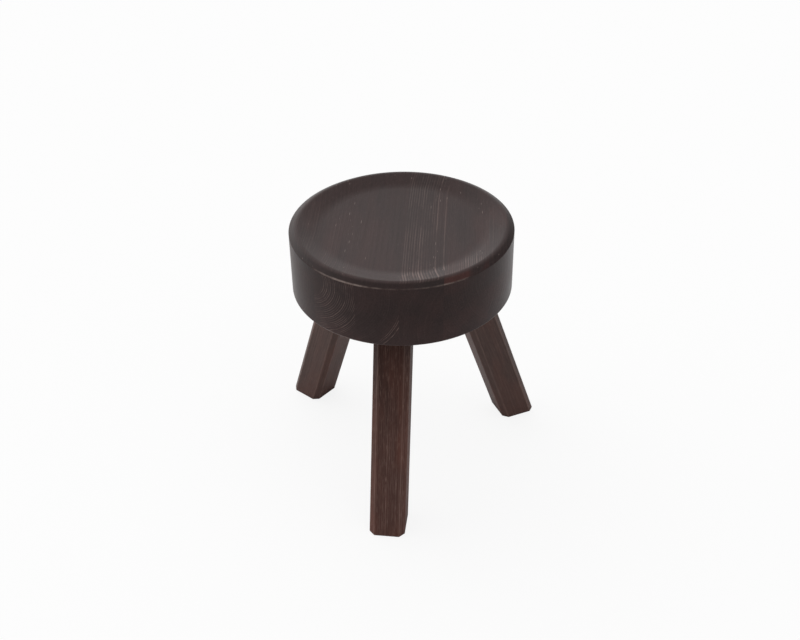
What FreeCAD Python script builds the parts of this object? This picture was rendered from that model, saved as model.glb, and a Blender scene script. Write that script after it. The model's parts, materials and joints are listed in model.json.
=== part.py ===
"""A three-legged round stool in solid pine, in millimetres.

The seat is turned from boards that are glued edge to edge, and its top is dished. Three splayed square legs
stand in blind bores in its underside with round tenons, and a wedge spreads the end of each tenon.
The origin is on the floor under the seat's axis. Z is up, and the front leg stands towards -Y.
"""
import math
import os

import FreeCAD, Part
import Sketcher

PARTS_FOLDER = "parts"
FULL_TURN = 360
SAME_PLACE = 1e-6

# The driving sizes: millimetres, and degrees for the slope, the splay and the turns.
SIZES = {
    # Seat: overall
    "stool_height": 376,
    "seat_diameter": 300,
    "seat_thickness": 92,
    # Seat: the rim, from its rounded crest down a bevel to the side
    "crest_inset": 11,
    "crest_rounding": 10,
    "rim_drop": 5,
    "rim_edge_radius": 1.2,
    "underside_edge_radius": 2,
    # Seat: the dish, from the crest in to the middle
    "dish_slope": 15.5,
    "cove_radius": 60,
    "dish_depth": 9.2,
    "dish_floor_radius": 3000,
    # Seat: the boards, counted out from the joint nearest the middle
    "board_width": 55.7,
    "narrowest_board": 20,
    "middle_joint_offset": 5.1,
    "grain_turn": 3.5,
    # Legs
    "leg_section": 49,
    "leg_chamfer": 7,
    "leg_edge_radius": 1.2,
    "leg_splay": 18.75,
    "leg_radius": 86,
    # Where the side legs stand: turned from the front leg, the left one bored a little further out
    "right_leg_turn": 120,
    "left_leg_turn": 237,
    "left_leg_outset": 4.6,
    # Tenons and the bores that take them
    "tenon_diameter": 32,
    "tenon_length": 55,
    "tenon_chamfer": 2,
    "glue_gap": 0.1,
    "bore_end_gap": 1.5,
    # Wedges and the kerfs that take them
    "wedge_length": 36,
    "wedge_head": 4.5,
    "wedge_tip": 1.5,
    "wedge_side_gap": 0.5,
    "kerf_run": 3,
    # How far a cutting or trimming solid reaches past what it cuts
    "cut_overrun": 5,
}

# Heights and lengths that several pieces share, worked out from the driving sizes.
UNDERSIDE = "(sizes.stool_height - sizes.seat_thickness)"
SEAT_RADIUS = "(sizes.seat_diameter / 2)"
CREST_RADIUS = f"({SEAT_RADIUS} - sizes.crest_inset)"
HALF_LEG = "(sizes.leg_section / 2)"
SHOULDER_RISE = f"({HALF_LEG} * tan(sizes.leg_splay))"
LEG_LENGTH = f"({UNDERSIDE} / cos(sizes.leg_splay))"
TENON_ROOT = "(sizes.tenon_diameter / 2)"
WEDGE_TOP = "(sizes.tenon_length + sizes.bore_end_gap)"
WEDGE_FOOT = f"({WEDGE_TOP} - sizes.wedge_length)"
KERF_HEAD = "(sizes.wedge_head / 2 + sizes.glue_gap)"
KERF_TIP = "(sizes.wedge_tip / 2 + sizes.glue_gap)"

# Each leg's turn round the seat, and how far from the seat's axis its own axis meets the underside.
LEG_STANDS = {
    "front": ("0", "sizes.leg_radius"),
    "right": ("sizes.right_leg_turn", "sizes.leg_radius"),
    "left": ("sizes.left_leg_turn", "(sizes.leg_radius + sizes.left_leg_outset)"),
}


def write_sizes(document):
    """Fills the sheet with the driving sizes, one name and one number to a row."""
    sheet = document.addObject("Spreadsheet::Sheet", "sizes")
    for row, (name, number) in enumerate(SIZES.items(), start=1):
        sheet.set(f"A{row}", name)
        sheet.set(f"B{row}", str(number))
        sheet.setAlias(f"B{row}", name)
    document.recompute()
    return sheet


def origin_plane(body, role):
    """The body's own origin plane with that role."""
    return next(feature for feature in body.Origin.OriginFeatures if feature.Role == role)


def sketch_on(body, name, role):
    """A new sketch of the body on one of its origin planes."""
    sketch = body.newObject("Sketcher::SketchObject", name)
    sketch.AttachmentSupport = [(origin_plane(body, role), "")]
    sketch.MapMode = "FlatFace"
    return sketch


def drive(sketch, name, expression, kind, *where, unit=1, suffix=""):
    """Adds a dimension to the sketch and ties it to an expression of the sheet."""
    start = float(sketch.evalExpression(expression)) * unit
    index = sketch.addConstraint(Sketcher.Constraint(kind, *where, start))
    sketch.renameConstraint(index, name)
    sketch.setExpression(f"Constraints.{name}", expression + suffix)


def closed_outline(sketch, corners):
    """Draws straight lines between corners, each tied to its own pair of expressions."""
    places = [FreeCAD.Vector(*(float(sketch.evalExpression(value)) for value in pair)) for pair in corners]
    lines = [Part.LineSegment(start, end) for start, end in zip(places, places[1:] + places[:1])]
    sketch.addGeometry(lines, False)
    for index, (across, up) in enumerate(corners):
        following = (index + 1) % len(corners)
        sketch.addConstraint(Sketcher.Constraint("Coincident", index, 2, following, 1))
        drive(sketch, f"across_{index}", across, "DistanceX", -1, 1, index, 1)
        drive(sketch, f"up_{index}", up, "DistanceY", -1, 1, index, 1)


def edge_names(shape, wanted):
    """The names of the shape's edges that pass the test."""
    return [f"Edge{number}" for number, edge in enumerate(shape.Edges, start=1) if wanted(edge)]


def arc(centre, radius, start, end):
    """An arc in the sketch's plane, counter-clockwise between two angles in radians."""
    return Part.ArcOfCircle(Part.Circle(centre, FreeCAD.Vector(0, 0, 1), radius), start, end)


def angle_from(centre, point):
    """The direction of a point as seen from a centre, in radians."""
    return math.atan2(point.y - centre.y, point.x - centre.x)


def draw_seat_profile(sketch, sheet):
    """Half the seat's section: underside, side, bevel, crest, slope, cove and floor of the dish, axis.

    The crest is one arc that runs tangent into the bevel outside it and the slope inside it. The slope runs
    tangent into the cove, and the cove into the floor, a very flat arc centred on the axis.
    """
    vector = FreeCAD.Vector
    rim = vector(sheet.seat_diameter / 2, sheet.stool_height - sheet.rim_drop)
    corner = vector(rim.x, sheet.stool_height - sheet.seat_thickness)
    heel = vector(0, corner.y)
    middle = vector(0, sheet.stool_height - sheet.dish_depth)

    crest_centre = vector(rim.x - sheet.crest_inset, sheet.stool_height - sheet.crest_rounding)
    opening = math.acos(sheet.crest_rounding / (rim - crest_centre).Length)
    bevel_normal = angle_from(crest_centre, rim) + opening
    bevel_top = crest_centre + vector(math.cos(bevel_normal), math.sin(bevel_normal)) * sheet.crest_rounding
    slope = math.radians(sheet.dish_slope)
    outward = vector(math.cos(slope), math.sin(slope))
    upward = vector(-math.sin(slope), math.cos(slope))
    slope_top = crest_centre + upward * sheet.crest_rounding
    floor_centre = middle + vector(0, sheet.dish_floor_radius)
    reach = slope_top + upward * sheet.cove_radius - floor_centre
    between_centres = sheet.dish_floor_radius - sheet.cove_radius
    along = reach.dot(outward)
    slope_length = along + math.sqrt(along**2 - reach.dot(reach) + between_centres**2)
    slope_foot = slope_top - outward * slope_length
    cove_centre = slope_foot + upward * sheet.cove_radius
    cove_foot = floor_centre + (cove_centre - floor_centre) * (sheet.dish_floor_radius / between_centres)
    level = math.pi / 2
    sketch.addGeometry(
        [
            Part.LineSegment(heel, corner),
            Part.LineSegment(corner, rim),
            Part.LineSegment(rim, bevel_top),
            arc(crest_centre, sheet.crest_rounding, bevel_normal, level + slope),
            Part.LineSegment(slope_foot, slope_top),
            arc(cove_centre, sheet.cove_radius, angle_from(cove_centre, cove_foot), slope - level),
            arc(floor_centre, sheet.dish_floor_radius, -level, angle_from(floor_centre, cove_foot)),
            Part.LineSegment(middle, heel),
        ],
        False,
    )
    underside, side, bevel, crest, slope_line, cove, floor, axis = range(sketch.GeometryCount)
    for rule in (
        ("Coincident", underside, 2, side, 1),
        ("Coincident", side, 2, bevel, 1),
        ("Tangent", bevel, 2, crest, 1),
        ("Tangent", crest, 2, slope_line, 2),
        ("Tangent", slope_line, 1, cove, 2),
        ("Tangent", cove, 1, floor, 2),
        ("Coincident", floor, 1, axis, 1),
        ("Coincident", axis, 2, underside, 1),
        ("Horizontal", underside),
        ("Vertical", side),
        ("PointOnObject", axis, 1, -2),
        ("PointOnObject", axis, 2, -2),
        ("PointOnObject", floor, 3, -2),
    ):
        sketch.addConstraint(Sketcher.Constraint(*rule))
    drive(sketch, "outer_radius", SEAT_RADIUS, "DistanceX", -1, 1, underside, 2)
    drive(sketch, "underside_height", UNDERSIDE, "DistanceY", -1, 1, underside, 1)
    drive(sketch, "side_top", "sizes.stool_height - sizes.rim_drop", "DistanceY", -1, 1, side, 2)
    drive(sketch, "crest_radius", CREST_RADIUS, "DistanceX", -1, 1, crest, 3)
    drive(sketch, "crest_centre", "sizes.stool_height - sizes.crest_rounding", "DistanceY", -1, 1, crest, 3)
    drive(sketch, "crest_rounding", "sizes.crest_rounding", "Radius", crest)
    drive(sketch, "slope_angle", "sizes.dish_slope", "Angle", slope_line, unit=math.radians(1), suffix=" * 1 deg")
    drive(sketch, "cove_radius", "sizes.cove_radius", "Radius", cove)
    drive(sketch, "floor_radius", "sizes.dish_floor_radius", "Radius", floor)
    drive(sketch, "floor_height", "sizes.stool_height - sizes.dish_depth", "DistanceY", -1, 1, floor, 1)


def turned_seat(document, sheet):
    """The whole seat as it leaves the lathe, before its boards are told apart."""
    body = document.addObject("PartDesign::Body", "turned_seat")
    profile = sketch_on(body, "seat_profile", "XZ_Plane")
    draw_seat_profile(profile, sheet)
    turning = body.newObject("PartDesign::Revolution", "seat_turning")
    turning.Profile = profile
    turning.ReferenceAxis = (profile, ["V_Axis"])
    turning.Angle = FULL_TURN
    document.recompute()

    def round_at(height):
        """A test for the circle of the seat's full radius at that height."""
        radius = sheet.seat_diameter / 2
        return lambda edge: all(
            abs(math.hypot(point.x, point.y) - radius) < SAME_PLACE and abs(point.z - height) < SAME_PLACE
            for point in (vertex.Point for vertex in edge.Vertexes)
        ) and edge.Curve.TypeId == "Part::GeomCircle"

    rim_edge = body.newObject("PartDesign::Fillet", "rim_edge")
    rim_edge.Base = (turning, edge_names(turning.Shape, round_at(sheet.stool_height - sheet.rim_drop)))
    rim_edge.setExpression("Radius", "sizes.rim_edge_radius")
    document.recompute()
    lower_edge = body.newObject("PartDesign::Fillet", "underside_edge")
    lower_edge.Base = (rim_edge, edge_names(rim_edge.Shape, round_at(sheet.stool_height - sheet.seat_thickness)))
    lower_edge.setExpression("Radius", "sizes.underside_edge_radius")
    document.recompute()
    return body


def leg_place(name, lift="0"):
    """The frame of a leg: its origin where the leg's axis meets the underside, Z up the axis, Y inwards."""
    turn, radius = LEG_STANDS[name]
    home = f"vector({radius} * sin({turn}); -{radius} * cos({turn}); {UNDERSIDE})"
    frame = f"placement({home}; rotation({turn}; 0; -sizes.leg_splay))"
    return f"{frame} * placement(vector(0; 0; {lift}); rotation(0; 0; 0))"


def wedge_turn(name):
    """How far a wedge is turned in its leg, so that it spreads the tenon along the grain of the seat."""
    turn, _ = LEG_STANDS[name]
    return f"({FULL_TURN} / 4 + sizes.grain_turn - {turn})"


def leg_bore(document, name):
    """The blind bore for one tenon, started below the underside so that it cuts clean through it."""
    bore = document.addObject("Part::Cylinder", f"bore_{name}")
    bore.setExpression("Radius", "sizes.tenon_diameter / 2 + sizes.glue_gap")
    bore.setExpression("Height", f"{TENON_ROOT} + {WEDGE_TOP}")
    bore.setExpression("Placement", leg_place(name, f"-{TENON_ROOT}"))
    return bore


def joint_steps(sheet):
    """The glue joints as whole numbers of boards from the middle one, none so far out as to leave a sliver."""
    reach = sheet.seat_diameter / 2 - sheet.narrowest_board
    first = math.ceil((-reach - sheet.middle_joint_offset) / sheet.board_width)
    last = math.floor((reach - sheet.middle_joint_offset) / sheet.board_width)
    return range(first, last + 1)


def seat_boards(document, sheet, seat, bores):
    """The boards of the drilled seat, from left to right, each between two glue joints or out to the side."""
    drill = document.addObject("Part::MultiFuse", "leg_bores")
    drill.Shapes = bores
    drilled = document.addObject("Part::Cut", "drilled_seat")
    drilled.Base = seat
    drilled.Tool = drill

    steps = joint_steps(sheet)
    edges = [f"(-{SEAT_RADIUS} - sizes.cut_overrun)"]
    edges += [f"(sizes.middle_joint_offset + {step} * sizes.board_width)" for step in steps]
    edges += [f"({SEAT_RADIUS} + sizes.cut_overrun)"]
    middle = steps.index(0) + 1
    turned = "placement(vector(0; 0; 0); rotation(sizes.grain_turn; 0; 0))"
    boards = []
    for index, (left, right) in enumerate(zip(edges, edges[1:])):
        place = f"left_{middle - index}" if index < middle else f"right_{index - middle + 1}"
        slab = document.addObject("Part::Box", f"slab_{place}")
        slab.setExpression("Length", f"{right} - {left}")
        slab.setExpression("Width", "sizes.seat_diameter + 2 * sizes.cut_overrun")
        slab.setExpression("Height", "sizes.seat_thickness + 2 * sizes.cut_overrun")
        corner = f"vector({left}; -{SEAT_RADIUS} - sizes.cut_overrun; {UNDERSIDE} - sizes.cut_overrun)"
        slab.setExpression("Placement", f"{turned} * placement({corner}; rotation(0; 0; 0))")
        board = document.addObject("Part::Common", f"seat_board_{place}")
        board.Base = drilled
        board.Tool = slab
        boards.append(board)
    document.recompute()
    return boards


def leg(document, sheet, name):
    """One leg: a skewed square post, chamfered, with a round tenon whose end is sawn for the wedge."""
    body = document.addObject("PartDesign::Body", f"leg_{name}")
    outline = sketch_on(body, f"post_outline_{name}", "YZ_Plane")
    closed_outline(
        outline,
        [
            (f"-{HALF_LEG}", f"-{SHOULDER_RISE}"),
            (f"-{HALF_LEG}", f"-{SHOULDER_RISE} - {LEG_LENGTH}"),
            (HALF_LEG, f"{SHOULDER_RISE} - {LEG_LENGTH}"),
            (HALF_LEG, SHOULDER_RISE),
        ],
    )
    post = body.newObject("PartDesign::Pad", f"post_{name}")
    post.Profile = outline
    post.SideType = "Symmetric"
    post.setExpression("Length", "sizes.leg_section")
    document.recompute()

    splay = math.radians(sheet.leg_splay)
    height = sheet.stool_height - sheet.seat_thickness

    def along_leg(edge):
        """Whether an edge runs the whole way down the leg."""
        start, end = (vertex.Point for vertex in edge.Vertexes)
        return math.hypot(start.x - end.x, start.y - end.y) < SAME_PLACE

    def at_sole(edge):
        """Whether both ends of an edge lie on the floor."""
        return all(
            abs(point.z * math.cos(splay) - point.y * math.sin(splay) + height) < SAME_PLACE
            for point in (vertex.Point for vertex in edge.Vertexes)
        )

    chamfers = body.newObject("PartDesign::Chamfer", f"chamfers_{name}")
    chamfers.Base = (post, edge_names(post.Shape, along_leg))
    chamfers.setExpression("Size", "sizes.leg_chamfer")
    document.recompute()
    softened = body.newObject("PartDesign::Fillet", f"softened_edges_{name}")
    softened.Base = (chamfers, edge_names(chamfers.Shape, lambda edge: along_leg(edge) or at_sole(edge)))
    softened.setExpression("Radius", "sizes.leg_edge_radius")
    document.recompute()

    circle = sketch_on(body, f"tenon_circle_{name}", "XY_Plane")
    circle.setExpression("AttachmentOffset.Base.z", f"-{TENON_ROOT}")
    circle.addGeometry(Part.Circle(FreeCAD.Vector(), FreeCAD.Vector(0, 0, 1), sheet.tenon_diameter / 2), False)
    circle.addConstraint(Sketcher.Constraint("Coincident", 0, 3, -1, 1))
    drive(circle, "tenon_diameter", "sizes.tenon_diameter", "Diameter", 0)
    tenon = body.newObject("PartDesign::Pad", f"tenon_{name}")
    tenon.Profile = circle
    tenon.setExpression("Length", f"{TENON_ROOT} + sizes.tenon_length")
    document.recompute()

    def at_tenon_end(edge):
        """Whether an edge lies at the end of the tenon."""
        return all(abs(vertex.Z - sheet.tenon_length) < SAME_PLACE for vertex in edge.Vertexes)

    lead = body.newObject("PartDesign::Chamfer", f"tenon_lead_{name}")
    lead.Base = (tenon, edge_names(tenon.Shape, at_tenon_end))
    lead.setExpression("Size", "sizes.tenon_chamfer")
    document.recompute()

    slit = sketch_on(body, f"kerf_outline_{name}", "XZ_Plane")
    slit.AttachmentOffset = FreeCAD.Placement(FreeCAD.Vector(), FreeCAD.Rotation(FreeCAD.Vector(0, 1, 0), 1))
    slit.setExpression("AttachmentOffset.Rotation.Angle", wedge_turn(name))
    closed_outline(
        slit,
        [
            (f"-{KERF_HEAD}", WEDGE_TOP),
            (f"-{KERF_TIP}", WEDGE_FOOT),
            (f"-{KERF_TIP}", f"{WEDGE_FOOT} - sizes.kerf_run"),
            (KERF_TIP, f"{WEDGE_FOOT} - sizes.kerf_run"),
            (KERF_TIP, WEDGE_FOOT),
            (KERF_HEAD, WEDGE_TOP),
        ],
    )
    kerf = body.newObject("PartDesign::Pocket", f"kerf_{name}")
    kerf.Profile = slit
    kerf.SideType = "Symmetric"
    kerf.setExpression("Length", "sizes.tenon_diameter + sizes.cut_overrun")
    body.setExpression("Placement", leg_place(name))
    document.recompute()
    if kerf.Shape.Volume >= lead.Shape.Volume:
        raise RuntimeError(f"the kerf of leg_{name} cuts nothing")
    return body


def wedge(document, name):
    """One wedge, with its head on the floor of the bore and its tip down in the kerf."""
    body = document.addObject("PartDesign::Body", f"wedge_{name}")
    outline = sketch_on(body, f"wedge_outline_{name}", "XZ_Plane")
    closed_outline(
        outline,
        [
            ("-sizes.wedge_head / 2", WEDGE_TOP),
            ("-sizes.wedge_tip / 2", WEDGE_FOOT),
            ("sizes.wedge_tip / 2", WEDGE_FOOT),
            ("sizes.wedge_head / 2", WEDGE_TOP),
        ],
    )
    blade = body.newObject("PartDesign::Pad", f"wedge_blade_{name}")
    blade.Profile = outline
    blade.SideType = "Symmetric"
    blade.setExpression("Length", "sizes.tenon_diameter - 2 * sizes.wedge_side_gap")
    turned = f"placement(vector(0; 0; 0); rotation({wedge_turn(name)}; 0; 0))"
    body.setExpression("Placement", f"{leg_place(name)} * {turned}")
    document.recompute()
    return body


def check_document(document, nodes):
    """Stops the build if any object failed or any piece is not one sound solid."""
    for item in document.Objects:
        if {"Invalid", "Error"} & set(item.State):
            raise RuntimeError(f"{item.Label} failed: {item.State}")
    for node in nodes:
        shape = node.Shape
        if shape.isNull() or not shape.isValid() or len(shape.Solids) != 1:
            raise RuntimeError(f"{node.Label} is not one sound solid")


def main():
    """Builds the stool and writes one STEP file for each piece."""
    document = FreeCAD.newDocument("stool")
    sheet = write_sizes(document)
    seat = turned_seat(document, sheet)
    bores = [leg_bore(document, name) for name in LEG_STANDS]
    nodes = seat_boards(document, sheet, seat, bores)
    nodes += [leg(document, sheet, name) for name in LEG_STANDS]
    nodes += [wedge(document, name) for name in LEG_STANDS]
    check_document(document, nodes)

    os.makedirs(PARTS_FOLDER, exist_ok=True)
    for node in nodes:
        node.Shape.exportStep(f"{PARTS_FOLDER}/{node.Label}.step")
        box = node.Shape.BoundBox
        print(f"{node.Label}: {node.Shape.Volume:.0f} mm3, z {box.ZMin:.2f} to {box.ZMax:.2f}")


main()
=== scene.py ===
"""The looks of a three-legged round stool in dark stained pine, in metres.

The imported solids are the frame, and every piece here stands where its solid stands. The seat is six boards,
each cut from one turned form. The legs are chamfered posts with turned tenons. The wedges in the tenons are
the solids themselves in raw beech. Z is up, the floor is at zero, and the front leg stands towards -Y.
"""
from __future__ import annotations

import json
import logging
import math
from dataclasses import dataclass, replace
from enum import Enum

import bmesh
import bpy
import numpy as np
from mathutils import Euler, Matrix, Vector

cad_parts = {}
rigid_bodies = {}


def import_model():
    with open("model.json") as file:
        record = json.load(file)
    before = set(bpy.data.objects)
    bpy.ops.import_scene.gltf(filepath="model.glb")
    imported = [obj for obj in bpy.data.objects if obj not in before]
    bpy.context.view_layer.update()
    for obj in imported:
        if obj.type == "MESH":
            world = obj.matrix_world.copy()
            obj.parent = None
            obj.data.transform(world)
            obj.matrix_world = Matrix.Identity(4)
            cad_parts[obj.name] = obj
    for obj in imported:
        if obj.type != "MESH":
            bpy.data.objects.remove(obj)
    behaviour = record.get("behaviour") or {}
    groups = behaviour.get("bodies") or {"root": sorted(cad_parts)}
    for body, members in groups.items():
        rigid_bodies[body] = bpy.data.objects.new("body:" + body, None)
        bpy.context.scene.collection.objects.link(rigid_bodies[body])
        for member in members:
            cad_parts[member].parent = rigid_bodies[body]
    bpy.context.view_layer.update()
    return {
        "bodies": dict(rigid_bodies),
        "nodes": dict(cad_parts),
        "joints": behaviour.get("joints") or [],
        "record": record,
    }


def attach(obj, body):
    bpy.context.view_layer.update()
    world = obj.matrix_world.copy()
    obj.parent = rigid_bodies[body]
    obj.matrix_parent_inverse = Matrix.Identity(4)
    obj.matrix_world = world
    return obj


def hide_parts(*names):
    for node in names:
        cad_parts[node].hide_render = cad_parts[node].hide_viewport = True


LOG = logging.getLogger("stool")
BODY = "root"
SAME_POINT = 1e-7
SHARP_ANGLE = math.radians(30)
EDGE_MARK = "edge"
SEAT_HEIGHT = 0.376
SEAT_RADIUS = 0.150
SEAT_THICKNESS = 0.092
GRAIN_TURN = math.radians(3.5)
ARRISES = 8

Socket = bpy.types.NodeSocket
Node = bpy.types.Node
Mesh = bpy.types.Mesh
Material = bpy.types.Material
Item = bpy.types.Object
Sockets = dict[str, Socket]
Colour = tuple[float, float, float, float]
Triple = tuple[float, float, float]
Pair = tuple[float, float]

SCREEN_WHITE = 255
CURVE_STARTS = 0.04045
STRAIGHT_PART = 12.92
CURVE_OFFSET = 0.055
CURVE_POWER = 2.4


def stained(red: int, green: int, blue: int) -> Colour:
    """A colour as a screen shows it, from 0 to 255, turned into the linear colour that a shader takes.

    A screen's curve is a straight line near black, and above that a power of the level plus an offset.

    Args:
        red: how red it is.
        green: how green.
        blue: how blue.

    Returns:
        The linear colour, opaque.
    """
    shares = np.array([red, green, blue]) / SCREEN_WHITE
    curved = ((shares + CURVE_OFFSET) / (1 + CURVE_OFFSET)) ** CURVE_POWER
    linear = np.where(shares <= CURVE_STARTS, shares / STRAIGHT_PART, curved)
    return (*linear.tolist(), 1.0)


# Surfaces


@dataclass
class Skin:
    """A closed surface: its points, its faces, and how much of an edge each point is, from 0 to 1."""

    points: np.ndarray
    faces: list
    edge: np.ndarray

    def mesh(self, name: str) -> Mesh:
        """Makes the mesh, with collapsed faces gone, faces pointing outwards and hard edges kept hard.

        Args:
            name: what the mesh is called.

        Returns:
            The finished mesh.
        """
        mesh = bpy.data.meshes.new(name)
        mesh.from_pydata(self.points, [], self.faces)
        mark = mesh.attributes.new(EDGE_MARK, "FLOAT", "POINT")
        mark.data.foreach_set("value", self.edge.astype(np.float32))
        work = bmesh.new()
        work.from_mesh(mesh)
        bmesh.ops.remove_doubles(work, verts=work.verts, dist=SAME_POINT)
        bmesh.ops.delete(work, geom=[edge for edge in work.edges if not edge.link_faces], context="EDGES")
        bmesh.ops.recalc_face_normals(work, faces=work.faces)
        work.to_mesh(mesh)
        work.free()
        finish_shading(mesh)
        return mesh


def finish_shading(mesh: Mesh) -> None:
    """Shades a mesh smooth, except where two faces meet at a hard angle."""
    mesh.shade_smooth()
    mesh.set_sharp_from_angle(angle=SHARP_ANGLE)


def grid_faces(rows: int, columns: int) -> np.ndarray:
    """The four-cornered faces of a grid whose rows are closed loops.

    Args:
        rows: how many loops there are.
        columns: how many points a loop has.

    Returns:
        One row of four point numbers for each face.
    """
    row, column = np.meshgrid(np.arange(rows - 1), np.arange(columns), indexing="ij")
    after = (column + 1) % columns
    here, there = row * columns, (row + 1) * columns
    corners = [here + column, here + after, there + after, there + column]
    return np.stack(corners, axis=-1).reshape(-1, 4)


def has_area(loop: np.ndarray) -> bool:
    """Whether a loop encloses anything, and is not drawn together to a line or a point."""
    spread = np.linalg.svd(loop - loop.mean(axis=0), compute_uv=False)
    return bool(spread[1] > SAME_POINT)


def loops_skin(loops: np.ndarray, edge: np.ndarray) -> Skin:
    """A closed skin from a stack of loops, with a flat face over an end loop that has an area.

    Args:
        loops: points by loop, place in the loop, and axis.
        edge: the edge mark by loop and place in the loop.

    Returns:
        The skin.
    """
    rows, columns = loops.shape[:2]
    first = np.arange(columns)
    last = first + (rows - 1) * columns
    faces = grid_faces(rows, columns).tolist()
    if has_area(loops[0]):
        faces.append(first[::-1].tolist())
    if has_area(loops[-1]):
        faces.append(last.tolist())
    return Skin(loops.reshape(-1, 3), faces, edge.reshape(-1))


def directions(angle: np.ndarray) -> np.ndarray:
    """The cosine and the sine of each angle, side by side along a last axis of their own."""
    return np.stack([np.cos(angle), np.sin(angle)], axis=-1)


def circle(radius: float, corners: int) -> np.ndarray:
    """Evenly stepped points round the origin."""
    return directions(np.linspace(0, 2 * math.pi, corners, endpoint=False)) * radius


def at_height(points: np.ndarray, height: float) -> np.ndarray:
    """Flat points, all put at one height."""
    return np.column_stack([points, np.full(len(points), height)])


def turned(points: np.ndarray, turn: Matrix) -> np.ndarray:
    """Points turned about the origin by a matrix of three rows."""
    return points @ np.array(turn).T


def arc(centre: np.ndarray | Pair, radius: float, start: float, end: float, steps: int) -> np.ndarray:
    """Points along an arc: the centre plus the radius times cosine and sine of an evenly stepped angle.

    Args:
        centre: the arc's centre.
        radius: its radius.
        start: the angle of its first point, in radians.
        end: the angle of its last point.
        steps: how many stretches it is divided into.

    Returns:
        The points, one row each.
    """
    return np.array(centre) + radius * directions(np.linspace(start, end, steps + 1))


def add_item(name: str, data: Mesh | bpy.types.Camera) -> Item:
    """Puts a mesh or a camera in the scene.

    Args:
        name: what its object is called.
        data: the mesh or the camera.

    Returns:
        The object.
    """
    item = bpy.data.objects.new(name, data)
    bpy.context.scene.collection.objects.link(item)
    return item


def dress(mesh: Mesh, finish: Material) -> None:
    """Gives a mesh one finish, in place of any that it had."""
    mesh.materials.clear()
    mesh.materials.append(finish)


def add_piece(mesh: Mesh, node: str, finish: Material) -> None:
    """Puts a finished mesh in the scene in place of one node of the frame.

    Args:
        mesh: the mesh, with its place in it.
        node: the node that it stands for.
        finish: its material.
    """
    dress(mesh, finish)
    piece = add_item(mesh.name, mesh)
    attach(piece, BODY)
    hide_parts(node)
    LOG.info("%s: %d faces", piece.name, len(mesh.polygons))


def cut_away(mesh: Mesh, cutters: list[Mesh]) -> Mesh:
    """Cuts closed shapes out of a mesh, as a drill or a saw does.

    Args:
        mesh: what is cut.
        cutters: what is cut away, one after the other.

    Returns:
        The cut mesh. Where there is nothing to cut it is the mesh itself.
    """
    if not cutters:
        return mesh
    work = add_item("work", mesh)
    tools = [add_item("tool", cutter) for cutter in cutters]
    for tool in tools:
        cut = work.modifiers.new("cut", "BOOLEAN")
        cut.operation = "DIFFERENCE"
        cut.solver = "EXACT"
        cut.object = tool
    bpy.context.view_layer.update()
    ready = work.evaluated_get(bpy.context.evaluated_depsgraph_get())
    result = bpy.data.meshes.new_from_object(ready)
    name = mesh.name
    for item in [work, *tools]:
        bpy.data.objects.remove(item)
    for used in [mesh, *cutters]:
        bpy.data.meshes.remove(used)
    result.name = name
    finish_shading(result)
    return result


# Shader wiring


@dataclass(frozen=True)
class Bumps:
    """Smooth noise: its bumps to the metre along each axis, how fine it goes, and how far it is shifted."""

    to_the_metre: Triple
    detail: float = 2.0
    shift: float = 0.0


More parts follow.
